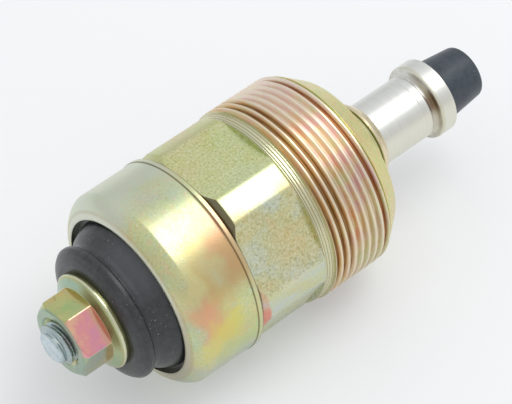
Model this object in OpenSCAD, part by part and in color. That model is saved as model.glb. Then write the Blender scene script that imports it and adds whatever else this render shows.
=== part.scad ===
// Screw-in fuel shutoff solenoid, lying with its axis along X, the sealing tip towards +X.
// The origin is on the axis, where the screw thread begins beside the hexagon.
// Every piece is drawn along its own +Z and laid down by lay(), so z in a profile is x in the part.

/* [Screw thread and nose] */
// Major diameter of the mounting thread, which the hexagon's corners share
thread_d = 24; // [22:0.5:30]
// Length of the mounting thread
thread_l = 7.9; // [5:0.1:16]
// Length of the bevelled land past the thread
land_l = 2.75; // [1.5:0.05:5]
// Radius that the land's bevel takes off at the nose face
land_t = 2.1; // [1:0.1:3]
// Length of the boss that closes round the plunger
boss_l = 4.25; // [2:0.05:8]
// Diameter of that boss at its root
boss_root_d = 10.4; // [9.6:0.1:13]
// Diameter of that boss at its lip
boss_lip_d = 8.4; // [8.2:0.1:9.4]
// Depth of the run-out groove below the thread's crest
groove_t = 0.25; // [0.1:0.05:0.8]
// Width of the run-out groove past the thread
groove_w = 0.35; // [0.2:0.05:0.8]

/* [Hexagon] */
// Depth of the hexagon's flats below its round corners
flat_t = 0.9; // [0.5:0.05:1.2]
// Length of the hexagon's flats
hex_l = 9; // [6:0.5:14]
// Length of the turned band between the flats and the thread
relief_l = 1.4; // [0.8:0.1:3]
// Depth of that turned band below the thread's crest
relief_t = 0.3; // [0.2:0.05:0.8]
// Length of the bevel on the corners at the cap's end
bevel_l = 0.95; // [0.4:0.05:1.5]
// Radius that this bevel takes off at the hexagon's end face
bevel_t = 0.7; // [0.3:0.05:0.8]

/* [Cap] */
// Thickness of the cap's sheet
cap_wall = 0.9; // [0.6:0.05:1.2]
// Length of the cap from the hexagon to its rolled front
cap_l = 9; // [8.5:0.05:14]
// Length of the cap's sloping shoulder at its front
cap_bend = 2; // [1.6:0.1:2.4]
// Radius of the bend on the cap's inside
cap_inner_bend = 0.9; // [0.6:0.05:1.1]
// Width of the cap's front, from its side to the opening's edge
cap_front_w = 2.275; // [2.1:0.025:2.4]
// Rounding on the opening's edge
cap_edge = 0.2; // [0.05:0.05:0.3]
// Width of the raised lip at the cap's rim
rim_w = 0.5; // [0.3:0.05:1]
// Height of that lip above the cap's side
rim_t = 0.15; // [0.05:0.05:0.3]

/* [Insulator] */
// Gap between the front disc and the cap's opening, through which the disc is pushed
disc_gap = 1.425; // [0.5:0.025:2]
// Thickness of the front disc
disc_t = 1.6; // [1.2:0.1:3]
// Width of the flat rim round the disc
disc_rim = 0.5; // [0.2:0.05:1]
// Radius that the disc's rounded front takes off
disc_round = 1.25; // [0.6:0.05:1.6]
// Depth of the waist below the disc's rim
waist_t = 0.75; // [0.4:0.05:1.5]
// Length from the front face to the inner flange
neck_l = 5.1; // [4:0.1:8]
// Gap between the neck and the cap's opening
neck_gap = 0.5; // [0.3:0.05:0.8]
// Thickness of the flange that the cap holds
flange_t = 1.8; // [1.6:0.1:2.2]
// Depth of the hollow behind the terminal
hollow_l = 2.4; // [1.5:0.1:3]

/* [Terminal] */
// Nominal diameter of the terminal stud
stud_d = 5; // [4:0.5:6]
// Length of the stud past the nut
stud_free = 1.3; // [0.8:0.1:8]
// Length of the bevel at the stud's end
stud_bevel = 0.6; // [0.3:0.05:0.8]
// Diameter of the stud's head inside the insulator
stud_head_d = 9; // [8:0.1:10]
// Thickness of the stud's head
stud_head_t = 1.2; // [0.8:0.1:1.4]
// Size across the flats of the terminal nut
nut_af = 8; // [7:0.5:10]
// Height of the terminal nut with its flange
nut_h = 4.9; // [4:0.1:7]
// Diameter of the nut's flange
nut_flange_d = 11.6; // [10:0.1:14]
// Thickness of the flange at its edge
nut_flange_t = 0.8; // [0.5:0.1:1.2]
// Height of the flange where it meets the hexagon
nut_flange_h = 1.6; // [1:0.1:2]
// Turn of the nut from the body's hexagon, in degrees
nut_turn = -10.7; // [-30:0.1:30]
// Diameter of the countersink in the nut's face
nut_sink_d = 6.2; // [5.4:0.1:7]
// Thickness of the contact ring under the stud's head
ring_t = 0.5; // [0.3:0.1:0.8]
// Width of the contact ring's tag
tag_w = 2.4; // [1.5:0.1:4]

/* [Coil] */
// Thickness of the spigot between the coil's bore and the cap
spigot_wall = 1.65; // [1:0.05:2.5]
// Thickness of the wall behind the nose
nose_wall = 3; // [2:0.1:4]
// Thickness of the flux plate over the coil
plate_t = 1.6; // [1:0.1:2.5]
// Thickness of the bobbin's end flanges
bobbin_flange_t = 0.8; // [0.5:0.1:1.2]
// Thickness of the bobbin's tube
bobbin_wall = 0.7; // [0.5:0.05:1]
// Gap between the wrapped winding and the coil's bore
winding_gap = 0.3; // [0.2:0.05:1.5]
// Thickness of the wrap round the winding
wrap_t = 0.15; // [0.1:0.05:0.3]
// Diameter of the coil's lead wires
lead_d = 0.6; // [0.4:0.05:0.8]

/* [Armature and core] */
// Diameter of the plunger's rod where it shows
rod_d = 7.7; // [6:0.1:8]
// Diameter of the plunger's thicker inner end
armature_d = 9; // [8.4:0.1:9.4]
// Length of that inner end
armature_l = 10; // [8:0.1:12]
// Bevel round its inner face
armature_bevel = 0.3; // [0.1:0.1:0.8]
// Travel of the plunger from its stop to the core
stroke = 2.5; // [1:0.1:4]
// Gap between the fixed core and the guide tube's bore
core_gap = 0.05; // [0.03:0.01:0.1]
// Diameter of the core's riveted neck
core_neck_d = 6; // [4:0.1:7]
// Wall thickness of the guide tube
tube_wall = 0.4; // [0.25:0.05:0.6]
// Thickness of the damping washer on the core
damper_t = 0.2; // [0.1:0.05:0.4]
// Length of the rod from the boss to the flange's fillet
rod_shown = 7.2; // [5:0.1:12]
// Length of the fillet behind the plunger's flange
fillet_l = 1; // [0.5:0.1:2]
// Depth of the turned neck in that fillet
neck_t = 0.25; // [0.1:0.05:0.4]
// Diameter of the plunger's flange
plunger_flange_d = 9.2; // [8.6:0.1:10]
// Thickness of the plunger's flange
plunger_flange_t = 2; // [1:0.1:3]

/* [Valve tip] */
// Length of the rubber tip
tip_l = 5.5; // [3:0.1:8]
// Diameter of the tip at the flange
tip_root_d = 7.6; // [7:0.1:9.2]
// Diameter of the tip at its end
tip_end_d = 6.4; // [4:0.1:8]
// Radius of the rounding at the tip's end
tip_round = 0.4; // [0.2:0.1:1]
// Diameter of the tip's plug inside the plunger
tip_plug_d = 4.4; // [3:0.1:5]
// Length of the tip's plug
tip_plug_l = 4; // [2:0.1:5]

/* [Return spring] */
// Wire diameter of the return spring
spring_wire = 0.5; // [0.3:0.05:0.6]
// Mean coil diameter of the return spring
spring_d = 3.6; // [3:0.1:4]
// Turns of the return spring
spring_turns = 9; // [5:1:12]
// Depth of the spring's hole in the plunger
spring_hole_l = 9; // [6:0.5:11]

/* [Seals and clearances] */
// Cord diameter of the two seals at the guide tube
seal_cord = 1; // [0.8:0.05:1.2]
// Cord diameter of the seal at the insulator
outer_seal_cord = 0.8; // [0.6:0.05:0.9]
// Thickness of the gasket on the flux plate
gasket_t = 0.3; // [0.2:0.05:0.5]
// Radial running clearance of the plunger
run_clear = 0.05; // [0.03:0.01:0.08]
// Clearance between pieces that are assembled by hand
seat_clear = 0.1; // [0.05:0.05:0.2]
// Gap left at the plunger's stop at rest
stop_gap = 0.05; // [0.02:0.01:0.1]
// Break on a turned or moulded edge
edge_break = 0.1; // [0.05:0.05:0.2]

/* [Hidden] */
$fn = 96;
cut = 0.01;

// Stations along the axis, from the origin at the hexagon's end of the thread
thread_z = thread_l;
nose_z = thread_z + land_l;
boss_z = nose_z + boss_l;
hex_top_z = -relief_l;
hex_end_z = hex_top_z - hex_l;
cap_front_z = hex_end_z - cap_l;
flange_front_z = cap_front_z + cap_wall;
gasket_z = flange_front_z + flange_t;
plate_z = gasket_z + gasket_t;
spigot_z = plate_z + plate_t;

// Diameters that follow the thread's, as the body is turned from one bar
corner_d = thread_d;
hex_af = corner_d - 2 * flat_t;
relief_d = thread_d - 2 * relief_t;
nose_d = thread_d - 2 * land_t;
cap_d = corner_d - 2 * rim_t;
cap_inner_d = cap_d - 2 * cap_wall;
cap_opening_d = cap_d - 2 * cap_front_w;
coil_bore_d = cap_inner_d - 2 * spigot_wall;

// The cap's rolled edge presses on the insulator's inner flange, which bears on the gasket
lip_r = cap_opening_d / 2 + cap_wall / 2;
face_z = flange_front_z - neck_l;
disc_back_z = face_z + disc_t;
disc_d = cap_opening_d - 2 * disc_gap;
waist_d = disc_d - 2 * waist_t;
neck_d = cap_opening_d - 2 * neck_gap;
flange_d = cap_inner_d - 2 * seat_clear;
flange_bevel = cap_inner_bend - seat_clear;
hollow_z = gasket_z - hollow_l;
nut_z = face_z - nut_h;
stud_z = nut_z - stud_free;
ring_z = hollow_z + ring_t;
stud_head_z = ring_z + stud_head_t;

// The coil's own stack, from the flux plate to the wall behind the nose
coil_floor_z = nose_z - nose_wall;
tube_r = armature_d / 2 + run_clear;
tube_outer_r = tube_r + tube_wall;
core_r = tube_r - core_gap;
stop_z = coil_floor_z + tube_wall;
bobbin_r = tube_outer_r + seat_clear / 2;
bobbin_outer_r = coil_bore_d / 2 - seat_clear;
bobbin_back_z = spigot_z + seat_clear / 2;
bobbin_front_z = coil_floor_z - seat_clear / 2;
winding_r = bobbin_r + bobbin_wall;
wrap_r = coil_bore_d / 2 - winding_gap - wrap_t;
winding_back_z = bobbin_back_z + bobbin_flange_t + seal_cord;
winding_front_z = bobbin_front_z - bobbin_flange_t - seal_cord;

// Both leads leave the middle of the winding, and the hollow takes the live one
lead_hole_d = lead_d + 4 * seat_clear;
lead_r = (winding_r + wrap_r) / 2;
hollow_d = 2 * lead_r + lead_hole_d + 2 * seat_clear;

// The plunger at rest against its stop, and the core one stroke behind it
shoulder_z = stop_z - stop_gap;
armature_z = shoulder_z - armature_l;
damper_z = armature_z - stroke - stop_gap;
core_z = damper_z - damper_t;
rod_end_z = boss_z + rod_shown;
plunger_flange_z = rod_end_z + fillet_l;
tip_z = plunger_flange_z + plunger_flange_t;
spring_hole_r = spring_d / 2 + spring_wire / 2 + seat_clear;
spring_end_z = armature_z + spring_hole_l;

// Lays a piece that is drawn along +Z down along +X
module lay() {
    rotate([0, 90, 0]) children();
}

// Ring between two stations
module ring(z0, z1, r_in, r_out) {
    translate([0, 0, z0]) difference() {
        cylinder(h = z1 - z0, r = r_out);
        translate([0, 0, -cut]) cylinder(h = z1 - z0 + 2 * cut, r = r_in);
    }
}

// Rubber ring of round cord
module seal_ring(z, r, cord) {
    translate([0, 0, z]) rotate_extrude() translate([r, 0]) circle(d = cord, $fn = 32);
}

// Points on an arc, from one angle to the other, as [radius, station]
function arc(cr, cz, r, a0, a1, n = 8) =
    [for (i = [0:n]) let (a = a0 + (a1 - a0) * i / n) [cr + r * cos(a), cz + r * sin(a)]];

// Points on a sloping shoulder from a side round to a front, fuller than a bevel at both ends
function shoulder(r0, r1, z0, z1, n = 12) =
    [for (i = [0:n]) let (a = 90 * i / n)
        [r1 + (r0 - r1) * pow(cos(a), 1.33), z1 + (z0 - z1) * (1 - pow(sin(a), 1.33))]];

// Points on a smooth rise from one radius to another, flat at both ends
function blend(r0, r1, z0, z1, n = 10) =
    [for (i = [0:n]) let (t = i / n) [r0 + (r1 - r0) * (1 - cos(180 * t)) / 2, z0 + (z1 - z0) * t]];

// Hexagonal prism with one pair of flats facing local X
module hex_prism(af, z0, z1) {
    translate([0, 0, z0]) rotate(30) cylinder(h = z1 - z0, d = af / cos(30), $fn = 6);
}

// Turned and milled steel body: spigot, hexagon, relief, thread, land and boss
module body() {
    color([0.78, 0.74, 0.52]) lay() difference() {
        union() {
            ring(spigot_z, hex_end_z + cut, coil_bore_d / 2, cap_inner_d / 2);
            intersection() {
                rotate_extrude() polygon([
                    [0, hex_end_z], [corner_d / 2 - bevel_t, hex_end_z],
                    [corner_d / 2, hex_end_z + bevel_l], [corner_d / 2, hex_top_z], [0, hex_top_z]]);
                hex_prism(hex_af, hex_end_z - cut, hex_top_z + cut);
            }
            rotate_extrude() polygon([
                [0, hex_top_z], [relief_d / 2, hex_top_z], [relief_d / 2, 0], [thread_d / 2, 0],
                [thread_d / 2, thread_z], [thread_d / 2 - groove_t, thread_z],
                [thread_d / 2 - groove_t, thread_z + groove_w], [nose_d / 2, nose_z],
                [boss_root_d / 2, nose_z], [boss_lip_d / 2, boss_z], [0, boss_z]]);
        }
        translate([0, 0, spigot_z - cut])
            cylinder(h = coil_floor_z - spigot_z + cut, d = coil_bore_d);
        cylinder(h = stop_z, r = tube_outer_r);
        cylinder(h = boss_z + cut, d = rod_d + 2 * run_clear);
    }
}

// Drawn steel cap with a rolled front edge and a raised lip at its rim
module cap() {
    edge_r = cap_opening_d / 2 + cap_edge;
    color([0.77, 0.76, 0.52]) lay() rotate_extrude() polygon(concat(
        [[cap_inner_d / 2, hex_end_z], [cap_d / 2 + rim_t, hex_end_z],
            [cap_d / 2 + rim_t, hex_end_z - rim_w], [cap_d / 2, hex_end_z - rim_w - rim_t]],
        shoulder(cap_d / 2, edge_r, cap_front_z + cap_bend, cap_front_z),
        arc(edge_r, cap_front_z + cap_edge, cap_edge, -90, -180, 4),
        [[cap_opening_d / 2, flange_front_z]],
        arc(cap_inner_d / 2 - cap_inner_bend, flange_front_z + cap_inner_bend, cap_inner_bend, -90, 0)));
}

// Moulded insulator: front disc, waist, neck through the cap's opening and inner flange
module insulator() {
    disc_r = disc_d / 2;
    round_l = disc_t - disc_rim;
    color([0.16, 0.17, 0.18]) lay() difference() {
        rotate_extrude() polygon(concat(
            [[0, face_z]],
            arc(disc_r - disc_round, face_z + round_l, round_l, -90, 0, 10),
            [[disc_r, disc_back_z - edge_break], [disc_r - edge_break, disc_back_z]],
            blend(waist_d / 2, neck_d / 2, disc_back_z + edge_break, flange_front_z),
            [[flange_d / 2 - flange_bevel, flange_front_z],
                [flange_d / 2, flange_front_z + flange_bevel],
                [flange_d / 2, gasket_z], [0, gasket_z]]));
        translate([0, 0, hollow_z]) cylinder(h = hollow_l + cut, d = hollow_d);
        translate([0, 0, face_z - cut]) cylinder(h = neck_l + flange_t, d = stud_d + seat_clear);
        ring(flange_front_z - cut, flange_front_z + outer_seal_cord,
            lip_r - outer_seal_cord / 2, lip_r + outer_seal_cord / 2);
    }
}

// Threaded terminal stud with a round head under the insulator
module terminal_stud() {
    color([0.72, 0.77, 0.8]) lay() union() {
        rotate_extrude() polygon([
            [0, stud_z], [stud_d / 2 - stud_bevel, stud_z], [stud_d / 2, stud_z + stud_bevel],
            [stud_d / 2, ring_z + cut], [0, ring_z + cut]]);
        ring(ring_z, stud_head_z, 0, stud_head_d / 2);
    }
}

// Flanged hexagon nut with bevelled corners and a countersunk hole
module terminal_nut() {
    corner_r = nut_af / cos(30) / 2;
    bevel = corner_r - nut_af / 2;
    base_z = face_z - nut_flange_t;
    neck_z = face_z - nut_flange_h;
    color([0.72, 0.74, 0.5]) lay() rotate(nut_turn) difference() {
        union() {
            rotate_extrude() polygon([
                [0, neck_z], [nut_af / 2, neck_z], [nut_flange_d / 2 - 2 * edge_break, base_z - edge_break],
                [nut_flange_d / 2, base_z + edge_break], [nut_flange_d / 2, face_z], [0, face_z]]);
            intersection() {
                hex_prism(nut_af, nut_z, face_z - cut);
                rotate_extrude() polygon([
                    [0, nut_z], [nut_af / 2 - edge_break, nut_z], [corner_r + cut, nut_z + bevel],
                    [corner_r + cut, face_z], [0, face_z]]);
            }
        }
        translate([0, 0, nut_z - cut]) cylinder(h = nut_h + 2 * cut, d = stud_d + seat_clear);
        translate([0, 0, nut_z - cut])
            cylinder(h = (nut_sink_d - stud_d) / 2, d1 = nut_sink_d, d2 = stud_d);
    }
}

// Tinned ring under the stud's head, with the tag that takes the live lead
module contact_ring() {
    color([0.75, 0.7, 0.55]) lay() difference() {
        union() {
            ring(hollow_z, ring_z, 0, stud_head_d / 2);
            translate([0, -tag_w / 2, hollow_z]) cube([lead_r - lead_hole_d, tag_w, ring_t]);
        }
        translate([0, 0, hollow_z - cut]) cylinder(h = ring_t + 2 * cut, d = stud_d + seat_clear);
    }
}

// Moulded bobbin with two end flanges, each recessed for a seal, and a notch for the leads
module coil_bobbin() {
    color([0.85, 0.83, 0.75]) lay() difference() {
        union() {
            ring(bobbin_back_z, bobbin_front_z, bobbin_r, winding_r);
            ring(bobbin_back_z, winding_back_z, bobbin_r, bobbin_outer_r);
            ring(winding_front_z, bobbin_front_z, bobbin_r, bobbin_outer_r);
        }
        ring(bobbin_back_z - cut, bobbin_back_z + seal_cord, 0, bobbin_r + seal_cord + seat_clear);
        ring(bobbin_front_z - seal_cord, bobbin_front_z + cut, 0, bobbin_r + seal_cord + seat_clear);
        for (side = [1, -1])
            translate([side * lead_r, 0, bobbin_back_z - cut])
                cylinder(h = winding_back_z - bobbin_back_z + 2 * cut, d = lead_hole_d);
    }
}

// Copper winding between the bobbin's flanges
module coil_winding() {
    color([0.7, 0.38, 0.18]) lay() ring(winding_back_z, winding_front_z, winding_r, wrap_r);
}

// Insulating wrap round the winding
module coil_wrap() {
    color([0.86, 0.8, 0.55]) lay() ring(winding_back_z, winding_front_z, wrap_r, wrap_r + wrap_t);
}

// Round wire through a list of points
module wire(points, d) {
    for (i = [0:len(points) - 2]) {
        run = points[i + 1] - points[i];
        translate(points[i])
            rotate([0, acos(run[2] / norm(run)), atan2(run[1], run[0])])
            cylinder(h = norm(run), d = d, $fn = 24);
    }
    for (p = points) translate(p) sphere(d = d, $fn = 24);
}

// Lead from the winding through the flux plate to the contact ring's tag
module live_lead() {
    tag_x = lead_r - lead_hole_d - lead_d;
    color([0.75, 0.3, 0.15]) lay() wire([
        [lead_r, 0, winding_back_z - lead_d / 2], [lead_r, 0, ring_z + 3 * lead_d],
        [tag_x, 0, ring_z + lead_d / 2]], lead_d);
}

// Lead from the winding to the flux plate, which earths it
module earth_lead() {
    color([0.3, 0.3, 0.3]) lay() wire([
        [-lead_r, 0, winding_back_z - lead_d / 2], [-lead_r, 0, spigot_z + lead_d / 2]], lead_d);
}

// Fixed core with the neck that is riveted into the flux plate
module core() {
    color([0.6, 0.61, 0.63]) lay() union() {
        ring(plate_z, spigot_z + cut, 0, core_neck_d / 2);
        ring(spigot_z, core_z, 0, core_r);
    }
}

// Steel plate that closes the magnetic circuit over the coil
module flux_plate() {
    color([0.68, 0.69, 0.7]) lay() difference() {
        ring(plate_z, spigot_z, core_neck_d / 2, cap_inner_d / 2);
        translate([lead_r, 0, plate_z - cut]) cylinder(h = plate_t + 2 * cut, d = lead_hole_d);
    }
}

// Thin non-magnetic tube in which the plunger slides
module guide_tube() {
    color([0.78, 0.66, 0.36]) lay() ring(spigot_z, stop_z, tube_r, tube_outer_r);
}

// Thin non-magnetic washer on the core's face
module damping_washer() {
    color([0.75, 0.6, 0.3]) lay()
        ring(core_z, damper_z, spring_d / 2 + spring_wire, core_r - seat_clear);
}

// Steel plunger: armature, rod, turned neck and flange, bored for the spring and the tip's plug
module plunger() {
    rod_r = rod_d / 2;
    flange_r = plunger_flange_d / 2;
    color([0.82, 0.83, 0.84]) lay() difference() {
        rotate_extrude() polygon(concat(
            [[0, armature_z], [armature_d / 2 - armature_bevel, armature_z],
                [armature_d / 2, armature_z + armature_bevel],
                [armature_d / 2, shoulder_z], [rod_r, shoulder_z], [rod_r, rod_end_z]],
            [[rod_r - neck_t, rod_end_z + fillet_l / 4]],
            arc(rod_r - neck_t + fillet_l / 2, rod_end_z + fillet_l / 2, fillet_l / 2, 180, 90, 6),
            [[flange_r - edge_break, plunger_flange_z], [flange_r, plunger_flange_z + edge_break],
                [flange_r, tip_z], [0, tip_z]]));
        translate([0, 0, armature_z - cut])
            cylinder(h = spring_hole_l + cut, r = spring_hole_r);
        translate([0, 0, tip_z - tip_plug_l]) cylinder(h = tip_plug_l + cut, d = tip_plug_d);
    }
}

// Rubber tip, bonded to the flange and plugged into the plunger
module valve_tip() {
    end_r = tip_end_d / 2;
    end_z = tip_z + tip_l;
    color([0.2, 0.21, 0.22]) lay() rotate_extrude() polygon(concat(
        [[0, tip_z - tip_plug_l], [tip_plug_d / 2, tip_z - tip_plug_l], [tip_plug_d / 2, tip_z],
            [tip_root_d / 2, tip_z]],
        arc(end_r - tip_round, end_z - tip_round, tip_round, 10, 90, 6),
        [[0, end_z]]));
}

// Helical return spring between the core and the bottom of the plunger's hole
module return_spring() {
    steps = 16 * spring_turns;
    sides = 8;
    z0 = core_z + spring_wire / 2;
    z1 = spring_end_z - spring_wire / 2;
    // The end turns lie closed, and the rest are evenly spread
    function rise(t) = t < 1 ? t * spring_wire
        : t > spring_turns - 1 ? z1 - z0 - (spring_turns - t) * spring_wire
        : spring_wire + (t - 1) * (z1 - z0 - 2 * spring_wire) / (spring_turns - 2);
    points = [for (i = [0:steps], j = [0:sides - 1])
        let (t = i * spring_turns / steps, a = 360 * t, b = 360 * j / sides,
            r = spring_d / 2 + spring_wire / 2 * cos(b))
        [r * cos(a), r * sin(a), z0 + rise(t) + spring_wire / 2 * sin(b)]];
    faces = concat(
        [[for (j = [0:sides - 1]) j]],
        [for (i = [0:steps - 1], j = [0:sides - 1])
            let (a = i * sides, b = a + sides, k = (j + 1) % sides) [a + j, b + j, b + k, a + k]],
        [[for (j = [sides - 1:-1:0]) steps * sides + j]]);
    color([0.8, 0.82, 0.84]) lay() polyhedron(points = points, faces = faces);
}

// Gasket between the flux plate and the insulator's flange
module plate_gasket() {
    color([0.35, 0.3, 0.25]) lay() ring(gasket_z, plate_z, hollow_d / 2, flange_d / 2);
}

// Seal between the insulator's flange and the cap's front
module insulator_seal() {
    color([0.1, 0.1, 0.1]) lay()
        seal_ring(flange_front_z + outer_seal_cord / 2, lip_r, outer_seal_cord);
}

// Seal between the guide tube and the flux plate
module rear_tube_seal() {
    color([0.1, 0.1, 0.1]) lay()
        seal_ring(spigot_z + seal_cord / 2, tube_outer_r + seal_cord / 2, seal_cord);
}

// Seal between the guide tube and the wall behind the nose
module nose_tube_seal() {
    color([0.1, 0.1, 0.1]) lay()
        seal_ring(coil_floor_z - seal_cord / 2, tube_outer_r + seal_cord / 2, seal_cord);
}

body();
cap();
insulator();
terminal_stud();
terminal_nut();
contact_ring();
coil_bobbin();
coil_winding();
coil_wrap();
live_lead();
earth_lead();
core();
flux_plate();
guide_tube();
damping_washer();
plunger();
valve_tip();
return_spring();
plate_gasket();
insulator_seal();
rear_tube_seal();
nose_tube_seal();
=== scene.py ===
import math

import bmesh
import bpy
import numpy as np
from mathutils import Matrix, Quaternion, Vector


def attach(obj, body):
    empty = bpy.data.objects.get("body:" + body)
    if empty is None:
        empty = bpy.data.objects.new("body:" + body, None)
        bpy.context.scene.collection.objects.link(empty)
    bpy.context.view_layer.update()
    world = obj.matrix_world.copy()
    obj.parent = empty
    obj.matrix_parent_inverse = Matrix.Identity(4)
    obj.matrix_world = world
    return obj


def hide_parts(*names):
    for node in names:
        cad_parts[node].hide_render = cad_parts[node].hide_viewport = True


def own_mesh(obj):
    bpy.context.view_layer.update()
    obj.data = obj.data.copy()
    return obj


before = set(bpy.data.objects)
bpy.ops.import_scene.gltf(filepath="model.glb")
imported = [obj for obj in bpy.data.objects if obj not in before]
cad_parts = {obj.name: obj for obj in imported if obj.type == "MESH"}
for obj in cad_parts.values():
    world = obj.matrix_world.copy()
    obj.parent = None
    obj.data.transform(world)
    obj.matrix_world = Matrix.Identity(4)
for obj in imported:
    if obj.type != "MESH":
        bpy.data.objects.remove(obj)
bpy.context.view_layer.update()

# Body
# One steel turning: a hexagon with round corners, a relief band, the M24 x 1 mounting thread, a
# bevelled land and the boss that closes round the plunger. It carries yellow chromate over zinc,
# and the coil sits in its bore.
MM = 0.001


def rounded(corners, step=0.8, turn=15):
    """Rows (station, radius) through the corners, each (station, radius, rounding), in millimetres"""
    points = [Vector(c[:2]) for c in corners]
    rows = [points[0]]
    for before, here, after, corner in zip(points, points[1:], points[2:], corners[1:]):
        back, ahead = (before - here).normalized(), (after - here).normalized()
        bend = math.pi - back.angle(ahead)
        reach = corner[2] * math.tan(bend / 2)
        reach = min(reach, (before - here).length / 2.1, (after - here).length / 2.1)
        count = max(2, math.ceil(math.degrees(bend) / turn)) if reach else 0
        for k in range(count + 1):
            t = k / max(count, 1)
            rows.append(here + back * reach * (1 - t) ** 2 + ahead * reach * t**2)
    rows.append(points[-1])
    dense = []
    for here, after in zip(rows, rows[1:]):
        count = max(1, math.ceil((after - here).length / step))
        dense += [here + (after - here) * k / count for k in range(count)]
    return [tuple(p) for p in dense + [points[-1]]]


def put(name, data):
    """A new object of this data, in the scene"""
    made = bpy.data.objects.new(name, data)
    bpy.context.scene.collection.objects.link(made)
    return made


def smooth_piece(name, mesh, crease):
    """The finished piece, shaded smooth but for edges that bend more than the crease in degrees"""
    bmesh.ops.recalc_face_normals(mesh, faces=mesh.faces)
    data = bpy.data.meshes.new(name)
    mesh.to_mesh(data)
    mesh.free()
    data.shade_smooth()
    data.set_sharp_from_angle(angle=math.radians(crease))
    return put(name, data)


def turned(name, rows, shape=None, columns=288):
    """Closed mesh of rings round the X axis; shape(station, radius, angle) may move their points"""
    rows = np.array(rows)
    angle = np.arange(columns) * 2 * math.pi / columns
    x, a = np.meshgrid(rows[:, 0], angle, indexing="ij")
    r = np.repeat(rows[:, 1:2], columns, axis=1)
    if shape:
        x, r = shape(x, r, a)
    mesh = bmesh.new()
    rings = []
    for i in range(len(rows)):
        if rows[i, 1] < 1e-6:
            rings.append([mesh.verts.new((x[i, 0] * MM, 0, 0))])
            continue
        ring = zip(x[i] * MM, -r[i] * np.sin(angle) * MM, r[i] * np.cos(angle) * MM)
        rings.append([mesh.verts.new(p) for p in ring])
    for one, two in zip(rings, rings[1:] + rings[:1]):
        for j in range(columns):
            k = (j + 1) % columns
            if len(one) > 1 and len(two) > 1:
                mesh.faces.new((one[j], one[k], two[k], two[j]))
            elif len(two) > 1:
                mesh.faces.new((one[0], two[k], two[j]))
            elif len(one) > 1:
                mesh.faces.new((one[j], one[k], two[0]))
    return smooth_piece(name, mesh, 40)


def ripple(x, first, last, pitch, depth):
    """Fine tool marks between two stations, as a depth to take off"""
    inside = (x > first) & (x < last)
    return np.where(inside, depth * (0.5 - 0.5 * np.cos(2 * math.pi * x / pitch)), 0)


def scored(x, stations, width, depth):
    """Thin turned lines at the given stations, as a depth to take off"""
    return sum(depth * np.exp(-(((x - s) / width) ** 2)) for s in stations)


def milled(r, a, flat, sharp, turn=0):
    """Radii taken down to six flats, the first turned this far from the top, with soft edges"""
    off = np.mod(a - turn + math.pi / 6, math.pi / 3) - math.pi / 6
    across = flat / np.cos(off)
    soft = -np.log(np.exp(-sharp * (r - flat)) + np.exp(-sharp * (across - flat))) / sharp + flat
    return np.minimum(soft, r)


def off_crest(x, a, crest, pitch):
    """How far a point is from a right-hand thread's nearest crest, as a share of the pitch"""
    phase = (x - crest) / pitch - a / (2 * math.pi)
    return np.abs(phase - np.round(phase))


hex_start, hex_end = -10.4, -1.4
flat_r, corner_r, edge_r = 11.1, 12.0, 11.9
bevel_r, bevel_end = 11.3, -9.45
relief_r, score_lines = 11.7, [-1.3, -1.05, -0.7, -0.3]
pitch, thread_r, thread_end, thread_depth = 1.0, 12.0, 7.9, 0.5
# The thread's last crest is at this station where the angle from the top is 38 degrees
last_crest, crest_turn = 7.78, math.radians(38)
crest_at = last_crest - crest_turn / (2 * math.pi) * pitch
land_end, boss_end, boss_groove = 10.65, 14.9, 13.55
spigot_r, coil_r, tube_r, nose_r = 10.95, 9.3, 4.95, 3.9
spigot_end, coil_front, stop_x = -14.8, 7.65, 8.0

bevel_rows = [
    (hex_start, spigot_r, 0), (hex_start, bevel_r, 0.05), (bevel_end, corner_r, 0.2),
    (bevel_end + 0.3, corner_r, 0),
]
hexagon_rows = [
    (bevel_end + 1, corner_r, 0), (hex_end - 0.2, corner_r, 0.1), (hex_end - 0.02, edge_r, 0),
]
nose_rows = [
    (thread_end, edge_r, 0), (thread_end + 0.08, 11.55, 0.03), (thread_end + 0.2, 11.55, 0.03),
    (thread_end + 0.34, 11.72, 0.05), (land_end, 9.9, 0.2), (land_end, 5.6, 0.35),
    (14.1, 4.95, 0.3), (boss_end, 4.3, 0.15), (boss_end, 3.95, 0.08), (14.5, nose_r, 0),
]
coil_bore = [
    (stop_x, nose_r), (stop_x, tube_r), (coil_front, tube_r), (coil_front, coil_r),
    (spigot_end, coil_r), (spigot_end, spigot_r),
]
body_rows = rounded(bevel_rows, 0.09) + rounded(hexagon_rows, 1.5)
body_rows += [(x, relief_r) for x in np.arange(hex_end, -0.015, 0.035)]
body_rows += [(x, thread_r) for x in np.arange(0, thread_end, 0.0625)]
body_rows += rounded(nose_rows, 0.15) + coil_bore


def body_shape(x, r, a):
    on_hexagon = (x < hex_end - 0.01) & (x > hex_start - 0.1) & (r > 11)
    r = np.where(on_hexagon, milled(r, a, flat_r, 40), r)
    cut = np.clip((off_crest(x, a, crest_at, pitch) - 0.1) / 0.3, 0, 1)
    cut = cut * cut * (3 - 2 * cut) * 0.35 + cut * 0.65
    run_in = np.clip((x + 0.05) / 0.6, 0, 1)
    on_thread = (x > -0.001) & (x < thread_end + 0.001) & (r > 11.8)
    r = r - np.where(on_thread, cut * thread_depth * run_in, 0)
    outside = r > 9
    r = r - np.where(outside, scored(x, score_lines, 0.04, 0.06), 0)
    r = r - np.where(outside, ripple(x, thread_end + 0.4, land_end - 0.15, 0.3, 0.01), 0)
    on_boss = (x > land_end + 0.15) & (x < boss_end - 0.05) & (r > 4.4)
    r = r - np.where(on_boss, scored(x, [boss_groove], 0.1, 0.18), 0)
    return x, r


body = turned("body_shell", body_rows, body_shape)


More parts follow.
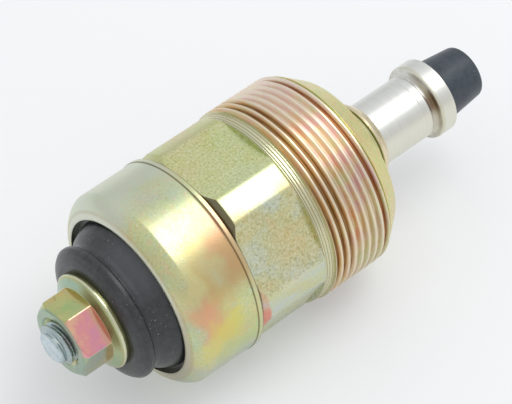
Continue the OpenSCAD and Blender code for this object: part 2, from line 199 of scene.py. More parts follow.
class Link:
    """A node's output, so that arithmetic on it reads as a plain expression"""

    def __init__(self, socket):
        self.socket = socket

    def node(self, kind, settings=None, values=None, out=0):
        """Adds a node to this tree: its settings first, then the values or links of its sockets"""
        made = self.socket.id_data.nodes.new(kind)
        for key, value in (settings or {}).items():
            if key == "stops":
                ramp = made.color_ramp.elements
                while len(ramp) < len(value):
                    ramp.new(0.5)
                for stop, (place, colour) in zip(ramp, value):
                    stop.position, stop.color = place, colour
            else:
                setattr(made, key, value)
        for key, value in (values or {}).items():
            if isinstance(value, Link):
                self.socket.id_data.links.new(value.socket, made.inputs[key])
            else:
                made.inputs[key].default_value = value
        return Link(made.outputs[out])

    def maths(self, operation, other=None, swap=False):
        """This value and the other by one Math node, the other first where swapped"""
        pair = (other, self) if swap else (self, other)
        values = {i: v for i, v in enumerate(pair) if v is not None}
        return self.node("ShaderNodeMath", {"operation": operation}, values)

    def __add__(self, other):
        return self.maths("ADD", other)

    def __sub__(self, other):
        return self.maths("SUBTRACT", other)

    def __rsub__(self, other):
        return self.maths("SUBTRACT", other, swap=True)

    def __mul__(self, other):
        return self.maths("MULTIPLY", other)

    def __pow__(self, other):
        return self.maths("POWER", other)

    __radd__ = __add__
    __rmul__ = __mul__

    def step(self, low, high):
        """0 below low, 1 above high and smooth between them"""
        values = {"Value": self, "From Min": low, "From Max": high}
        return self.node("ShaderNodeMapRange", {"interpolation_type": "SMOOTHSTEP"}, values)

    def within(self, low, high, soft):
        """1 between low and high and 0 outside them, with edges this soft"""
        half = soft / 2
        return self.step(low - half, low + half) * self.step(high + half, high - half)

    def ramp(self, *stops):
        """The colours of the stops, each (place, colour), by this value"""
        return self.node("ShaderNodeValToRGB", {"stops": stops}, {"Fac": self})

    def noise(self, size, detail=2.0, rough=0.5, seed=0.0, stretch=(1, 1, 1)):
        """Noise from 0 to 1 with lumps of about this size in millimetres"""
        place = self.node("ShaderNodeMapping", None, {
            "Vector": self, "Location": (seed, seed * 0.7, seed * 1.3), "Scale": stretch})
        return self.node("ShaderNodeTexNoise", None, {
            "Vector": place, "Scale": 1000 / size, "Detail": detail, "Roughness": rough})

    def mix(self, colour, other):
        """This mask mixes two colours"""
        return self.node("ShaderNodeMix", {"data_type": "RGBA"}, {0: self, 6: colour, 7: other}, 2)


def paint(red, green, blue):
    """A colour in 0 to 255 as linear light"""
    return (*((c / 255) ** 2.2 for c in (red, green, blue)), 1)


def material(name, metallic=0.0, roughness=0.5, coat=0.0):
    """A new material: its shader, and the place on the piece as a Link"""
    made = bpy.data.materials.new(name)
    made.use_nodes = True
    shader = made.node_tree.nodes["Principled BSDF"]
    shader.inputs["Metallic"].default_value = metallic
    shader.inputs["Roughness"].default_value = roughness
    shader.inputs["Coat Weight"].default_value = coat
    place = made.node_tree.nodes.new("ShaderNodeTexCoord")
    return made, shader, Link(place.outputs["Object"])


def wire_up(shader, **inputs):
    """Links a shader's sockets, named with underscores for spaces"""
    for name, link in inputs.items():
        shader.id_data.links.new(link.socket, shader.inputs[name.replace("_", " ")])


def bump(place, height, strength, distance):
    """A surface normal from a height from 0 to 1 that stands for this distance in millimetres"""
    return place.node("ShaderNodeBump", None, {
        "Height": height, "Strength": strength, "Distance": distance * MM})


def around(place):
    """Station in millimetres, angle from the top in radians and radius in millimetres"""
    parts = place.node("ShaderNodeSeparateXYZ", None, {0: place})
    station = parts * 1000
    y = Link(parts.socket.node.outputs[1]) * -1000
    z = Link(parts.socket.node.outputs[2]) * 1000
    return station, y.maths("ARCTAN2", z), (y * y + z * z) ** 0.5


def chromate(name, seed, size=7.0, roughness=0.28):
    """Yellow chromate over zinc: green straw with wide faint clouds of tan, rose and lavender"""
    made, shader, place = material(name, metallic=1.0, roughness=roughness)
    base = place.noise(size, 3, 0.55, seed).ramp(
        (0.32, paint(186, 200, 166)),
        (0.46, paint(200, 208, 154)),
        (0.60, paint(212, 208, 152)),
        (0.76, paint(216, 194, 148)),
    )
    rose = place.noise(size * 0.9, 3, 0.6, seed + 3.1).step(0.5, 0.8)
    base = (rose * 0.4).mix(base, paint(216, 170, 158))
    violet = place.noise(size * 0.8, 3, 0.6, seed + 7.7).step(0.5, 0.8)
    base = (violet * 0.4).mix(base, paint(190, 192, 202))
    amber = place.noise(size * 0.6, 3, 0.6, seed + 5.3).step(0.54, 0.8)
    base = (amber * 0.45).mix(base, paint(216, 174, 104))
    iris = place.noise(0.55, 3, 0.65, seed + 4.4)
    base = (iris.step(0.54, 0.68) * 0.4).mix(base, paint(230, 184, 166))
    base = (iris.step(0.46, 0.32) * 0.4).mix(base, paint(176, 206, 196))
    speck = place.noise(0.24, 2, 0.6, seed + 1.9)
    base = (speck.step(0.52, 0.8) * 0.6).mix(base, paint(226, 228, 206))
    base = (speck.step(0.48, 0.2) * 0.6).mix(base, paint(160, 166, 120))
    rough = place.noise(0.5, 3, 0.6, seed + 2.2) * 0.16 + (roughness - 0.08)
    return made, shader, place, base, rough


passivated, shader, place, base, rough = chromate("passivated_body", 11.0)
station, angle, radius = around(place)
# side counts the hexagon's flats from the top one, which is 0 and runs from -0.5 to 0.5
side = angle * (3 / math.pi)
off_flat = (side - side.maths("ROUND")).maths("ABSOLUTE")
on_hexagon = station.step(hex_end + 0.02, hex_end - 0.02)
on_flat = off_flat.step(0.4, 0.35) * on_hexagon
wander = side + (place.noise(4.0, 3, 0.6, 14.0) - 0.5) * 0.5
cloud = place.noise(3.2, 4, 0.65, 17.0)
streaky = place.noise(4.5, 3, 0.6, 23.0, (1, 1, 3))
top_flat = cloud.ramp((0.35, paint(196, 206, 136)), (0.62, paint(206, 214, 164)))
next_flat = cloud.ramp(
    (0.32, paint(222, 198, 144)), (0.48, paint(216, 212, 164)), (0.66, paint(212, 220, 208)))
low_flat = streaky.ramp(
    (0.32, paint(206, 202, 148)), (0.5, paint(200, 208, 186)), (0.66, paint(196, 206, 210)))
base = (on_hexagon * wander.within(-0.55, 0.5, 0.2) * 0.6).mix(base, top_flat)
base = (on_hexagon * wander.within(0.5, 1.35, 0.2) * 0.7).mix(base, next_flat)
base = (on_hexagon * wander.within(1.35, 2.6, 0.25) * 0.8).mix(base, low_flat)
fleck = place.noise(0.3, 3, 0.7, 27.0)
base = (on_flat * fleck.step(0.5, 0.7) * 0.6).mix(base, paint(238, 234, 206))
base = (on_flat * fleck.step(0.5, 0.3) * 0.6).mix(base, paint(156, 152, 90))
# Painted dark reflection: the bevel at the hexagon's upper corners is darkened into curved shapes
# beside the cap
slope = (corner_r - bevel_r) / (bevel_end - hex_start)
off_cone = radius - (station - hex_start) * slope - bevel_r
on_bevel = off_cone.within(-0.04, 0.04, 0.03) * station.step(bevel_end, bevel_end - 0.08)
base = (on_bevel * side.within(0.1, 0.9, 0.1) * 0.85).mix(base, paint(100, 88, 72))
base = (on_bevel * side.within(1.1, 1.9, 0.1) * 0.5).mix(base, paint(214, 160, 140))
red_patch = station.within(hex_start - 0.6, bevel_end + 0.15, 0.3) * side.within(1.5, 1.95, 0.1)
base = (red_patch * 0.8).mix(base, paint(222, 142, 124))
# Rose, green and copper tints over the thread, with painted shade in its valleys, darkest brown in
# its first valleys and its last one
thread = station.within(0.0, thread_end, 0.06)
start = station.within(-0.4, 2.7, 1.0)
last = station.within(last_crest - 1.06, last_crest - 0.03, 0.1)
hue = place.noise(2.2, 3, 0.6, 31.0)
base = thread.mix(base, paint(226, 206, 176))
base = (thread * hue.step(0.47, 0.6) * 0.6).mix(base, paint(224, 184, 194))
base = (thread * hue.step(0.47, 0.34) * 0.6).mix(base, paint(204, 214, 168))
copper = place.noise(3.4, 3, 0.6, 37.0, (2, 1, 1)).step(0.5, 0.66)
base = (thread * copper * station.step(6.0, 3.0) * 0.6).mix(base, paint(220, 160, 98))
base = (thread * start * 0.5).mix(base, paint(216, 184, 122))
# Painted light: the upper side of the thread is painted paler, as if lit more
lit_upper_side = angle.within(-1.6, 0.1, 0.6) * (1 - start)
base = (thread * lit_upper_side * 0.6).mix(base, paint(252, 238, 226))
greener = angle.within(1.25, 2.6, 0.5) * station.step(3.0, 5.5)
base = (thread * greener * 0.45).mix(base, paint(198, 206, 150))
# Painted shade: the thread's valleys are darkened, most of all the first ones and the last one
valley_shade = radius.step(11.84, 11.55) * thread
base = (valley_shade * 0.3).mix(base, paint(206, 172, 144))
base = (valley_shade * start * 0.85).mix(base, paint(136, 98, 50))
base = (valley_shade * last * 0.9).mix(base, paint(156, 98, 54))
# Painted highlight: the thread's crests are painted pale
crest = radius.step(11.9, 11.97) * thread
base = (crest * 0.7).mix(base, paint(236, 224, 200))
# Painted shade: a dark line on the body along the cap's rim, where the rim shades it
seam_shade = station.step(hex_start + 0.42, hex_start + 0.22)
base = (seam_shade * 0.8).mix(base, paint(96, 84, 56))
relief = station.within(hex_end, 0.0, 0.04)
base = (relief * 0.6).mix(base, paint(214, 210, 182))
# Painted shade: the scored lines on the relief band are darkened
for at in score_lines:
    base = (station.within(at - 0.05, at + 0.05, 0.05) * 0.45).mix(base, paint(122, 104, 64))
# The land and the boss: straw with turned streaks, painted shade in the one groove and a pale lip
land = station.within(thread_end + 0.2, boss_groove - 0.05, 0.1)
face = station.step(land_end - 0.1, land_end + 0.1)
turning = place.noise(1.8, 3, 0.65, 41.0, (4, 1, 1))
tone = turning.ramp(
    (0.36, paint(200, 206, 128)), (0.5, paint(224, 212, 144)), (0.62, paint(228, 194, 130)))
base = (land * (0.75 - face * 0.35)).mix(base, tone)
feed = 0.31
line = (station * (2 * math.pi / feed)).maths("SINE").step(0.75, 0.98)
base = (line * land * 0.3).mix(base, paint(150, 138, 88))
# Painted shade: the boss's groove is darkened
groove = station.within(boss_groove - 0.09, boss_groove + 0.11, 0.06)
base = (groove * 0.85).mix(base, paint(104, 92, 54))
boss_lip = station.step(boss_groove + 0.11, boss_groove + 0.21)
base = (boss_lip * 0.8).mix(base, paint(234, 216, 186))
grain = place.noise(0.12, 2, 0.6, 4.0) * 0.7 + place.noise(0.45, 2, 0.5, 9.0) * 0.3
wire_up(
    shader, Base_Color=base, Roughness=rough + on_flat * 0.1 + thread * 0.1,
    Normal=bump(place, grain, 0.25, 0.05),
)
body.data.materials.append(passivated)
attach(body, "housing")
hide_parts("body")

# Cap
# A drawn steel shell over the coil, pressed on the body's spigot, with its front rolled over the
# insulator's flange and a thin raised lip where it meets the hexagon. Same chromate as the body.
cap_r, cap_wall, shoulder_l = 11.85, 0.9, 2.0
rim_r, rim_w = 11.97, 0.5
front_x, opening_r, edge = -19.4, 9.575, 0.2
# The shoulder slopes more than a quarter of an ellipse, for which slope would be 1
shoulder, slope = [], 1.33
for turn in np.linspace(0, math.pi / 2, 22):
    across, along = math.cos(turn) ** slope, math.sin(turn) ** slope
    r = opening_r + edge + (cap_r - opening_r - edge) * across
    shoulder.append((front_x + shoulder_l * (1 - along), r))
opening = rounded([
    (front_x + 0.01, opening_r + edge - 0.02, 0), (front_x + 0.04, opening_r + 0.03, 0.15),
    (front_x + cap_wall, opening_r, 0.05), (front_x + cap_wall, 10.05, 0.1),
    (front_x + cap_wall + 0.9, spigot_r, 0),
], 0.15)
rim_rows = rounded([
    (hex_start, spigot_r, 0), (hex_start, rim_r - 0.02, 0.08), (hex_start - rim_w, rim_r, 0.3),
    (hex_start - rim_w - 0.3, cap_r, 0.3), (front_x + shoulder_l + 0.1, cap_r, 0),
], 0.3, 9)
cap_rows = rim_rows + shoulder + opening
seam_line = hex_start - rim_w - 0.12


def cap_shape(x, r, a):
    uneven = 0.012 * np.sin(2 * a + 0.6) + 0.008 * np.sin(5 * a + 2.0)
    fold = (x < front_x + 1) & (r > opening_r + 0.3)
    r = r + uneven * np.clip((hex_start - 1 - x) / 3, 0, 1)
    crease = 0.035 * np.exp(-(((r - opening_r - 0.75) / 0.14) ** 2))
    r = r - np.where(r > 11.5, scored(x, [seam_line], 0.07, 0.05), 0)
    return x + np.where(fold, crease, 0), r


cap = turned("cap_shell", cap_rows, cap_shape)
cap_skin, shader, place, base, rough = chromate("passivated_cap", 4.0, 7.0, 0.33)
station, angle, radius = around(place)
along = station + (place.noise(5.0, 3, 0.6, 1.0) - 0.5) * 6
round_at = angle + (place.noise(6.0, 3, 0.6, 2.0) - 0.5) * 0.8
# Each tint: from angle, to angle, softness; from station, to station; share and colour
tints = [
    (-1.2, 0.0, 0.5, -22, -9, 0.75, paint(210, 218, 204)),
    (0.4, 1.05, 0.4, -13.2, -9, 0.8, paint(218, 160, 132)),
    (0.62, 1.15, 0.3, -18.6, -13.5, 0.6, paint(226, 208, 142)),
    (0.72, 1.2, 0.3, -16.5, -10.0, 0.65, paint(206, 176, 118)),
    (0.8, 1.0, 0.25, -15.2, -13.2, 0.5, paint(204, 210, 178)),
    (1.05, 1.35, 0.25, -19.5, -14.0, 0.45, paint(210, 174, 124)),
    (1.1, 1.5, 0.2, -18.6, -15.4, 0.7, paint(228, 162, 130)),
    (1.3, 1.55, 0.2, -17.6, -13.0, 0.75, paint(218, 208, 112)),
    (1.5, 1.75, 0.2, -18.6, -16.2, 0.7, paint(222, 206, 122)),
    (1.55, 1.85, 0.25, -16.5, -10.0, 0.6, paint(190, 204, 140)),
    (1.85, 2.6, 0.4, -19.5, -9, 0.6, paint(182, 198, 190)),
]
for low, high, soft, first, end, share, colour in tints:
    patch = round_at.within(low, high, soft) * along.within(first, end, 2.0)
    base = (patch * share).mix(base, colour)
front = station.step(front_x + 1.2, front_x + 0.6)
# Painted highlight: the rolled edge round the opening is painted pale; painted shade makes it darker
# brown on its lower side
band = radius.step(10.45, 10.2) * front
base = (band * 0.7).mix(base, paint(214, 214, 200))
base = (band * angle.within(1.1, 2.6, 0.5) * 0.5).mix(base, paint(172, 158, 130))
# Painted shade: a faint darker line along the fold of the cap's front
fold_shade = radius.within(10.3, 10.65, 0.2) * front
base = (fold_shade * 0.25).mix(base, paint(168, 130, 104))
lip = station.step(hex_start - rim_w, hex_start - rim_w + 0.08)
base = (lip * 0.35).mix(base, paint(214, 208, 166))
# Painted shade: dark lines where the cap meets the hexagon and at the step of the lip
seam_shades = station.step(hex_start - 0.12, hex_start - 0.04)
seam_shades = seam_shades + station.within(seam_line - 0.08, seam_line + 0.08, 0.08)
base = (seam_shades * 0.8).mix(base, paint(104, 90, 62))
grain = place.noise(0.2, 2, 0.6, 5.0)
wire_up(shader, Base_Color=base, Roughness=rough, Normal=bump(place, grain, 0.14, 0.04))
cap.data.materials.append(cap_skin)
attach(cap, "housing")
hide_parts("cap")

# Insulator
# A black thermoset moulding: a disc with a rounded front, a waist, and a neck that flares out to
# the cap's opening. The cap's rolled edge holds its inner flange against the gasket.
seat_x, stud_hole_r, disc_r = -23.6, 2.55, 8.1
disc_and_neck = [
    (seat_x, stud_hole_r, 0), (seat_x, 6.5, 0.3), (-23.48, 6.85, 0.2), (-23.4, 7.1, 0.2),
    (-23.05, 7.75, 0.5), (-22.65, disc_r - 0.02, 0.25), (-22.2, disc_r, 0.1), (-22.0, 7.95, 0.08),
    (-21.9, 7.45, 0.25), (-21.0, 7.65, 0.8), (-20.2, 8.35, 0.8), (-19.1, 8.95, 0.4),
    (-18.55, 9.08, 0),
]
inner_flange = [(-18.5, 9.1), (-18.5, 10.05), (-17.7, 10.85), (-16.7, 10.85)]
terminal_hollow = [(-16.7, 7.9), (-19.1, 7.9), (-19.1, stud_hole_r)]
insulator_rows = rounded(disc_and_neck, 0.25, 10) + inner_flange + terminal_hollow
insulator = turned("insulator_moulding", insulator_rows)
moulding, shader, place = material("black_moulding")
mottle = place.noise(0.8, 4, 0.6, 2.0)
base = mottle.ramp((0.3, paint(40, 42, 43)), (0.7, paint(62, 65, 66)))
dust = place.noise(0.2, 1, 0.5, 8.0).step(0.71, 0.78)
dust = dust * place.noise(3.0, 2, 0.5, 3.0).step(0.45, 0.6)
station, angle, _ = around(place)
# Painted sheen: the upper side of the neck is painted lighter grey
painted_sheen = angle.within(-0.1, 0.8, 0.6) * station.within(-21.4, -18.8, 0.6)
base = (painted_sheen * 0.6).mix(base, paint(88, 90, 94))
base = (dust * 0.9).mix(base, paint(190, 192, 192))
grain = place.noise(0.15, 3, 0.6, 6.0)
wire_up(
    shader, Base_Color=base, Roughness=mottle * 0.2 + 0.22,
    Normal=bump(place, grain, 0.3, 0.05),
)
insulator.data.materials.append(moulding)
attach(insulator, "housing")
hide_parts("insulator")

# Terminal stud
# A cold-headed M5 steel stud with bright zinc. Its head lies under the insulator, its thread stands
# a little past the nut, and its end is chamfered.
stud_r, stud_pitch, stud_end, stud_crest = 2.5, 0.8, -29.8, -29.0
head_back, head_front, head_r = -18.6, -17.4, 4.5
stud_rows = rounded([(stud_end, 0, 0), (stud_end, 1.68, 0.1), (stud_end + 0.6, 2.25, 0)], 0.1)
stud_rows += [(x, stud_r) for x in np.arange(stud_end + 0.65, -23.0, 0.05)]
stud_rows += [(head_back, stud_r), (head_back, head_r), (head_front, head_r), (head_front, 0)]


def stud_shape(x, r, a):
    cut = np.clip((off_crest(x, a, stud_crest, stud_pitch) - 0.08) / 0.36, 0, 1)
    cut = cut * cut * (3 - 2 * cut)
    depth = 0.42 * np.clip((x - stud_end - 0.12) / 0.5, 0, 1)
    on_thread = (x < -23) & (r > 1.87) & (r < 2.6)
    return x, r - np.where(on_thread, cut * depth, 0)


stud = turned("terminal_stud_threaded", stud_rows, stud_shape, 144)
zinc, shader, place = material("bright_zinc", metallic=1.0)
spangle = place.noise(0.9, 3, 0.6, 1.0)
base = spangle.ramp(
    (0.3, paint(172, 192, 202)), (0.55, paint(206, 218, 222)), (0.75, paint(224, 226, 218)))
radius = around(place)[2]
# Painted shade: the threaded side of the stud is darker than its end face
base = (radius.step(1.6, 2.0) * 0.55).mix(base, paint(140, 152, 146))
grain = place.noise(0.1, 2, 0.6, 3.0)
wire_up(
    shader, Base_Color=base, Roughness=spangle * 0.25 + 0.16,
    Normal=bump(place, grain, 0.3, 0.04),
)
stud.data.materials.append(zinc)
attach(stud, "housing")
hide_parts("terminal_stud")

# Terminal nut
# An M5 hexagon flange nut, 8 mm across flats, bevelled at its corners and countersunk round the
# stud. It clamps the ring terminal against the insulator and carries a brighter chromate.
nut_front, cone_x, flange_x, nut_back = -28.5, -24.95, -24.3, seat_x
nut_turn = math.radians(-10.7)
nut_flat, flange_r = 4.0, 5.8
nut_corner = nut_flat / math.cos(math.pi / 6)
nut_rows = rounded([
    (nut_front + 0.62, stud_r, 0), (nut_front, 3.1, 0.04), (nut_front, 3.9, 0.08),
    (nut_front + 0.62, nut_corner, 0.12), (cone_x - 0.05, nut_corner, 0),
    (cone_x, 4.6, 0.1), (-24.5, 5.5, 0.2), (flange_x, flange_r, 0.15),
    (nut_back + 0.12, flange_r, 0.1), (nut_back, flange_r - 0.15, 0.05), (nut_back, stud_hole_r, 0),
], 0.22)


def nut_shape(x, r, a):
    on_hexagon = (x < cone_x - 0.03) & (r > 3.3)
    return x, np.where(on_hexagon, milled(r, a, nut_flat, 30, nut_turn), r)


nut = turned("terminal_nut_flanged", nut_rows, nut_shape)
nut_skin, shader, place, base, rough = chromate("passivated_nut", 21.0, 4.0, 0.22)
station, angle, radius = around(place)
side = (angle - nut_turn) * (3 / math.pi)
hexagon = station.step(cone_x + 0.05, cone_x - 0.05)
front = station.step(nut_front + 0.3, nut_front + 0.1)
base = ((1 - hexagon) * 0.6).mix(base, paint(156, 160, 112))
# Painted shade: the side of the flange's rim is darkened
rim = station.step(flange_x + 0.14, flange_x + 0.24)
base = (rim * 0.75).mix(base, paint(106, 104, 74))
# Painted highlight: the rounded edge of the flange is painted almost white
rim_highlight = station.within(flange_x - 0.06, flange_x + 0.2, 0.08)
base = (rim_highlight * 0.6).mix(base, paint(228, 230, 204))
cone = radius.within(4.4, 5.5, 0.2) * (1 - hexagon)
# Painted dark reflection: the flange's cone is darkened on the side by the pink flat
base = (cone * side.within(0.2, 1.6, 0.5) * 0.8).mix(base, paint(112, 106, 66))
base = (cone * side.within(-1.5, 0.1, 0.4) * 0.7).mix(base, paint(150, 182, 168))
base = (cone * side.within(1.7, 2.6, 0.3) * 0.6).mix(base, paint(158, 186, 150))
tarnish = place.noise(2.4, 4, 0.6, 44.0)
green_flat = tarnish.ramp(
    (0.36, paint(164, 190, 118)), (0.54, paint(188, 192, 124)), (0.7, paint(212, 184, 118)))
red_flat = tarnish.ramp(
    (0.36, paint(228, 148, 176)), (0.52, paint(238, 154, 160)), (0.68, paint(240, 186, 156)))
grey_flat = tarnish.ramp((0.36, paint(150, 168, 158)), (0.6, paint(172, 170, 132)))
base = (hexagon * side.within(-0.5, 0.5, 0.04) * 0.75).mix(base, green_flat)
base = (hexagon * side.within(0.5, 1.5, 0.04) * 0.9).mix(base, red_flat)
base = (hexagon * side.within(1.5, 2.5, 0.04) * 0.75).mix(base, grey_flat)
foot = hexagon * station.step(cone_x - 0.95, cone_x - 0.25)
base = (foot * 0.5).mix(base, paint(206, 180, 130))
base = (front * 0.8).mix(base, paint(150, 174, 156))
grime = place.noise(0.9, 4, 0.7, 47.0).step(0.58, 0.72) * side.step(0.55, 0.45)
base = (grime * 0.45).mix(base, paint(120, 120, 84))
grain = place.noise(0.14, 2, 0.6, 5.0)
wire_up(shader, Base_Color=base, Roughness=rough, Normal=bump(place, grain, 0.2, 0.04))
nut.data.materials.append(nut_skin)
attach(nut, "housing")
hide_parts("terminal_nut")

# Plunger
# A bright turned steel rod that slides in the boss, with a turned neck and a flange that carries
# the rubber tip. Its thicker inner end is the armature, bored for the return spring.
rod_r, neck_r, flange_back, flange_front = 3.85, 3.62, 23.1, 25.1
armature_r, armature_x, spring_bore_r, spring_to = 4.5, -2.0, 2.15, 7.0
plug_r, plug_x = 2.2, 21.1
armature = [
    (armature_x, spring_bore_r), (armature_x, armature_r - 0.3), (armature_x + 0.3, armature_r),
    (stop_x, armature_r), (stop_x, rod_r),
]
rod_rows = [
    (11.5, rod_r, 0), (22.1, rod_r, 0.08), (22.25, neck_r, 0.08), (22.55, neck_r, 0.3),
    (22.85, 4.0, 0.2), (flange_back - 0.15, 4.5, 0.08), (flange_back + 0.1, 4.6, 0.06),
    (flange_front, 4.6, 0.1), (flange_front, 4.2, 0),
]
tip_bore = [(flange_front, plug_r), (plug_x, plug_r), (plug_x, 0)]
spring_bore = [(spring_to, 0), (spring_to, spring_bore_r)]
plunger_rows = armature + rounded(rod_rows, 0.07) + tip_bore + spring_bore


def plunger_shape(x, r, a):
    shown = (r > 3.5) & (x > 14)
    lines = scored(x, [21.2, 21.45, 21.7], 0.04, 0.03) + ripple(x, 20.6, 22.0, 0.14, 0.006)
    return x, r - np.where(shown, lines, 0)


plunger = turned("plunger_rod", plunger_rows, plunger_shape, 192)
bright, shader, place = material("bright_turned_steel", metallic=1.0)
station, angle, _ = around(place)
streak = place.noise(2.5, 4, 0.6, 2.0, (14, 1, 1))
base = streak.ramp((0.3, paint(220, 221, 216)), (0.7, paint(231, 231, 226)))
base = (angle.within(1.0, 2.4, 0.6) * 0.5).mix(base, paint(224, 220, 196))
in_neck = station.within(22.15, flange_back - 0.1, 0.15)
# Patchy brown stain in the neck, with painted shade in a band on one side of it
patchy = place.noise(2.4, 3, 0.6).step(0.3, 0.6) * 0.3
stain_and_shade = in_neck * (patchy + angle.within(0.6, 1.2, 0.4) * 0.55)
base = stain_and_shade.mix(base, paint(122, 92, 66))
straw = station.within(flange_back - 0.1, flange_back + 0.25, 0.1)
base = (straw * 0.35).mix(base, paint(196, 190, 140))
wire_up(
    shader, Base_Color=base, Roughness=streak * 0.08 + 0.32,
    Normal=bump(place, streak, 0.03, 0.02),
)
plunger.data.materials.append(bright)
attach(plunger, "plunger_assembly")
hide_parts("plunger")

# Valve tip
# Moulded nitrile rubber, bonded to the plunger's flange and plugged into it. Its flat end closes
# the fuel port when the coil is off.
tip_end, tip_root_r, tip_end_r = 30.6, 3.8, 3.2
tip_outline = [
    (flange_front, plug_r, 0), (flange_front, tip_root_r, 0), (tip_end, tip_end_r, 0.45),
    (tip_end, 0, 0),
]
tip_rows = rounded(tip_outline, 0.25, 9) + [(plug_x, 0), (plug_x, plug_r)]
tip = turned("valve_tip_rubber", tip_rows, None, 144)
rubber, shader, place = material("nitrile_rubber")
bloom = place.noise(1.6, 4, 0.6, 3.0)
base = bloom.ramp((0.3, paint(46, 52, 62)), (0.75, paint(68, 78, 84)))
lint = place.noise(0.2, 1, 0.5, 5.0).step(0.76, 0.82)
base = (lint * 0.8).mix(base, paint(200, 202, 202))
grain = place.noise(0.12, 3, 0.6, 6.0)
wire_up(
    shader, Base_Color=base, Roughness=bloom * 0.2 + 0.28,
    Normal=bump(place, grain, 0.15, 0.04),
)
tip.data.materials.append(rubber)
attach(tip, "plunger_assembly")
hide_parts("valve_tip")

# Coil
# Enamelled copper wire wound on a nylon bobbin and held by an amber film. One end of the wire goes
# to a tinned brass ring under the stud's head, the other to the flux plate.
def cover(skin, *names):
    """Puts a material on pieces that keep the shape they came with"""
    for name in names:
        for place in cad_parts[name].material_slots:
            place.material = skin


wire_d, film_w = 0.34, 4.0
wire, shader, place = material("enamelled_copper", metallic=0.9, coat=0.6)
station = around(place)[0]
shade = place.noise(0.8, 3, 0.6, 1.0)
base = shade.ramp((0.3, paint(158, 78, 38)), (0.7, paint(196, 108, 58)))
layer = (station * (2 * math.pi / wire_d)).maths("SINE") * 0.5 + 0.5
# Painted shade: darker lines between the turns of wire
base = ((1 - layer) * 0.4).mix(base, paint(96, 44, 22))
wire_up(shader, Base_Color=base, Roughness=shade * 0.1 + 0.24, Normal=bump(place, layer, 0.6, 0.1))
cover(wire, "coil_winding", "live_lead", "earth_lead")

nylon, shader, place = material("natural_nylon", roughness=0.5)
shade = place.noise(2.0, 3, 0.6, 2.0)
base = shade.ramp((0.3, paint(206, 200, 180)), (0.7, paint(222, 216, 198)))
grain = place.noise(0.2, 2, 0.6, 3.0)
wire_up(shader, Base_Color=base, Normal=bump(place, grain, 0.15, 0.04))
cover(nylon, "coil_bobbin")

film, shader, place = material("amber_film", roughness=0.25, coat=0.5)
station, angle, _ = around(place)
shade = place.noise(1.6, 3, 0.6, 5.0)
base = shade.ramp((0.3, paint(186, 140, 62)), (0.7, paint(208, 164, 84)))
overlap = (station * (2 * math.pi / film_w) + angle).maths("SINE").step(0.9, 0.98)
base = (overlap * 0.5).mix(base, paint(150, 104, 40))
wire_up(shader, Base_Color=base, Normal=bump(place, overlap, 0.4, 0.06))
cover(film, "coil_wrap")

tinned, shader, place = material("tinned_brass", metallic=1.0)
shade = place.noise(0.9, 4, 0.6, 6.0)
base = shade.ramp((0.3, paint(190, 180, 148)), (0.6, paint(212, 208, 192)))
wire_up(shader, Base_Color=base, Roughness=shade * 0.3 + 0.2, Normal=bump(place, shade, 0.2, 0.04))
cover(tinned, "contact_ring")

# Core and flux plate
# Bare soft iron: the fixed pole that draws the plunger in, riveted into the disc that carries the
# field out to the body. Both are turned and lightly oiled.
iron, shader, place = material("bare_iron", metallic=1.0)
station, _, radius = around(place)
shade = place.noise(1.8, 4, 0.6, 7.0)
base = shade.ramp((0.3, paint(150, 152, 156)), (0.7, paint(184, 186, 188)))
rust = place.noise(0.9, 3, 0.6, 8.0).step(0.64, 0.8)
base = (rust * 0.4).mix(base, paint(142, 112, 86))
feed = 0.22
turning = ((station + radius) * (2 * math.pi / feed)).maths("SINE")
wire_up(
    shader, Base_Color=base, Roughness=shade * 0.2 + 0.26,
    Normal=bump(place, turning, 0.25, 0.02),
)
cover(iron, "core", "flux_plate")

# Guide tube and damping washer
# Thin drawn brass: the tube in which the plunger slides, and the washer that keeps it from
# sticking to the core.
brass, shader, place = material("drawn_brass", metallic=1.0)
shade = place.noise(2.2, 4, 0.6, 9.0, (0.2, 1, 1))
base = shade.ramp((0.3, paint(202, 170, 100)), (0.7, paint(224, 198, 132)))
wire_up(shader, Base_Color=base, Roughness=shade * 0.2 + 0.2, Normal=bump(place, shade, 0.1, 0.03))
cover(brass, "guide_tube", "damping_washer")

# Return spring
# Drawn spring wire with closed ends, in the plunger's bore against the core. It pushes the plunger
# out;
# the real spring is pressed shorter when the coil draws the plunger in, but this mesh has one length.
wire_r, mean_r, turns = 0.25, 1.8, 9
spring_from, stroke, solid_gap = -4.7, 2.5, 0.02
spring_l, closed = spring_to - spring_from, 2 * wire_r
wire_sides, turn_steps = 14, 36
turned_to = np.linspace(0, turns, turns * turn_steps + 1)
rise = np.interp(
    turned_to, [0, 1, turns - 1, turns], [0, closed, spring_l - 2 * closed, spring_l - closed])
mesh = bmesh.new()
loops = []
for t, along in zip(turned_to * 2 * math.pi, rise + spring_from + wire_r):
    loop = []
    for b in np.arange(wire_sides) * 2 * math.pi / wire_sides:
        r = mean_r + wire_r * math.cos(b)
        x = along + wire_r * math.sin(b)
        loop.append(mesh.verts.new(Vector((x, -r * math.sin(t), r * math.cos(t))) * MM))
    loops.append(loop)
for one, two in zip(loops, loops[1:]):
    for j in range(wire_sides):
        k = (j + 1) % wire_sides
        mesh.faces.new((one[j], one[k], two[k], two[j]))
mesh.faces.new(loops[0])
mesh.faces.new(loops[-1])
spring = smooth_piece("return_spring_wire", mesh, 50)
drawn, shader, place = material("spring_wire", metallic=1.0)
shade = place.noise(0.5, 3, 0.6, 10.0)
base = shade.ramp((0.3, paint(158, 160, 162)), (0.7, paint(192, 194, 194)))
wire_up(shader, Base_Color=base, Roughness=shade * 0.2 + 0.2, Normal=bump(place, shade, 0.1, 0.02))
spring.data.materials.append(drawn)
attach(spring, "housing")
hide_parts("return_spring")
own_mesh(spring)

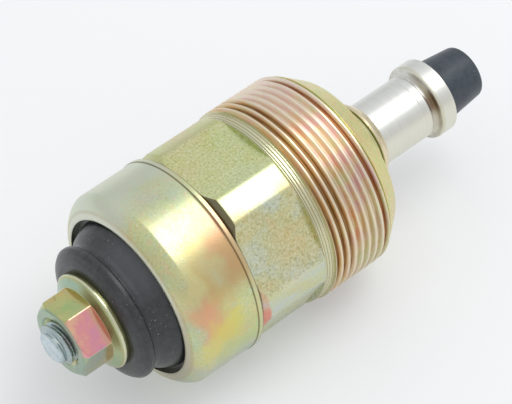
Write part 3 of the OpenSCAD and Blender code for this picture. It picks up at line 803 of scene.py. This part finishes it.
# Seals
# A fibre gasket beside the flux plate and three nitrile rings that keep fuel and water out of the
# coil. The rings have the tip's rubber.
fibre, shader, place = material("gasket_fibre", roughness=0.8)
shade = place.noise(0.5, 4, 0.7, 12.0, (1, 3, 1))
base = shade.ramp((0.3, paint(92, 80, 66)), (0.7, paint(132, 118, 100)))
wire_up(shader, Base_Color=base, Normal=bump(place, shade, 0.4, 0.05))
cover(fibre, "plate_gasket")
cover(rubber, "insulator_seal", "rear_tube_seal", "nose_tube_seal")

# Floor, light and camera
# A pale table under the part, one wide soft lamp overhead and a plain grey room round it. What the
# camera and mirrors see of the table has a share of plain white mixed in, and keeps the shadow.
mesh = bmesh.new()
bmesh.ops.create_grid(mesh, x_segments=8, y_segments=8, size=30.0)
data = bpy.data.meshes.new("table")
mesh.to_mesh(data)
mesh.free()
table = put("table", data)
table.location.z = -thread_r * MM
paper, shader, place = material("pale_table", roughness=0.9)
shader.inputs["Base Color"].default_value = paint(240, 241, 242)
shader.inputs["Specular IOR Level"].default_value = 0.1
rays = place.node("ShaderNodeLightPath").socket.node.outputs
seen = Link(rays["Is Camera Ray"]) + Link(rays["Is Glossy Ray"])
seen = seen + Link(rays["Is Transmission Ray"])
white = place.node("ShaderNodeEmission", None, {"Color": paint(250, 252, 254), "Strength": 1.0})
white_share = 0.28
matt = Link(shader.outputs[0])
lit = place.node("ShaderNodeMixShader", None, {0: seen * white_share, 1: matt, 2: white})
paper.node_tree.links.new(lit.socket, paper.node_tree.nodes["Material Output"].inputs[0])
table.data.materials.append(paper)

lamp = bpy.data.lights.new("softbox", "AREA")
lamp.shape, lamp.size, lamp.size_y = "RECTANGLE", 0.34, 0.32
lamp.energy = 0.94
softbox = put("softbox", lamp)
toward, lamp_away = Vector((0.417, -0.205, 0.886)), 0.55
softbox.location = toward * lamp_away
softbox.rotation_mode = "QUATERNION"
softbox.rotation_quaternion = toward.to_track_quat("Z", "Y")

world = bpy.data.worlds.new("room")
bpy.context.scene.world = world
world.use_nodes = True
backdrop = world.node_tree.nodes["Background"]
where = Link(world.node_tree.nodes.new("ShaderNodeTexCoord").outputs["Generated"])
height = Link(where.node("ShaderNodeSeparateXYZ", None, {0: where}).socket.node.outputs[2])
room = height.ramp(
    (0.0, (0.64, 0.64, 0.65, 1)), (0.5, (0.76, 0.77, 0.78, 1)), (1.0, (0.85, 0.86, 0.88, 1)))
world.node_tree.links.new(room.socket, backdrop.inputs["Color"])

camera_at = Vector((-0.1181, -0.1571, 0.2024))
back = Vector((-0.41712, -0.5595, 0.71619))
roll = math.radians(-5.75)
lens = bpy.data.cameras.new("camera")
lens.sensor_width, lens.lens = 36.0, 180.1
camera = put("camera", lens)
camera.location = camera_at
camera.rotation_mode = "QUATERNION"
camera.rotation_quaternion = back.to_track_quat("Z", "Y") @ Quaternion((0, 0, 1), roll)
bpy.context.scene.camera = camera
bpy.context.scene.view_settings.view_transform = "Standard"
